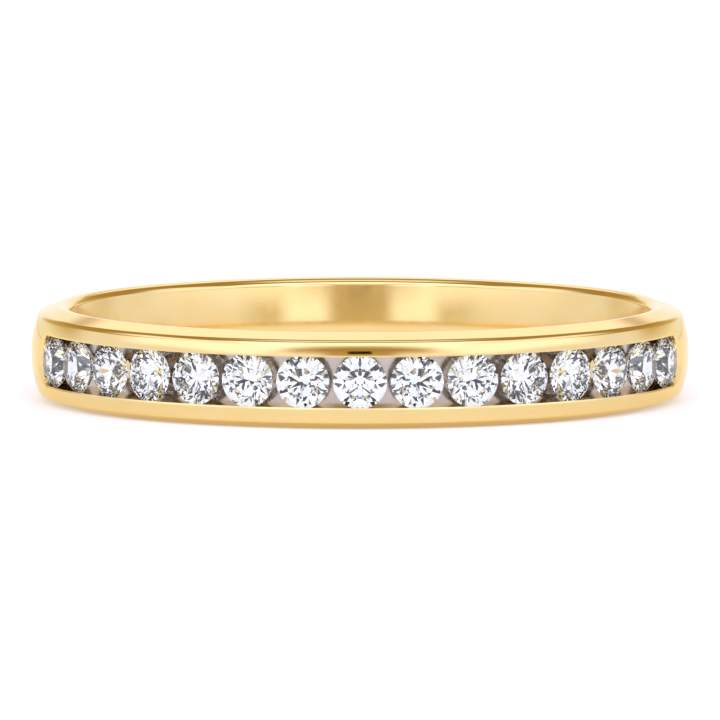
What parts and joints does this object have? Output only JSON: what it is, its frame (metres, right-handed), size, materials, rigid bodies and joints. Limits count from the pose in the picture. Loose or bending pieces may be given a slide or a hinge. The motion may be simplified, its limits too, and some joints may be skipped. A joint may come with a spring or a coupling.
{
  "type": "channel set band ring",
  "caption": "Plain finger ring with a domed face, a channel between two rails and a row of round brilliant stones set flush in it.",
  "frame": {"origin": "centre of the finger hole, in the plane of the lower side that the ring lies on", "axes": "+Z along the finger hole's axis and up as the ring lies on its side, -Y from the hole towards the middle stone, +X to the right seen from the middle stone"},
  "size_m": [0.0196, 0.0196, 0.0028],
  "materials": {
    "yellow_gold": "polished yellow gold",
    "stone": "clear polished stone"
  },
  "bodies": {
    "root": {"band": "yellow_gold", "stone_01": "stone", "stone_02": "stone", "stone_03": "stone", "stone_04": "stone", "stone_05": "stone", "stone_06": "stone", "stone_07": "stone", "stone_08": "stone", "stone_09": "stone", "stone_10": "stone", "stone_11": "stone", "stone_12": "stone", "stone_13": "stone", "stone_14": "stone", "stone_15": "stone"}
  },
  "joints": []
}
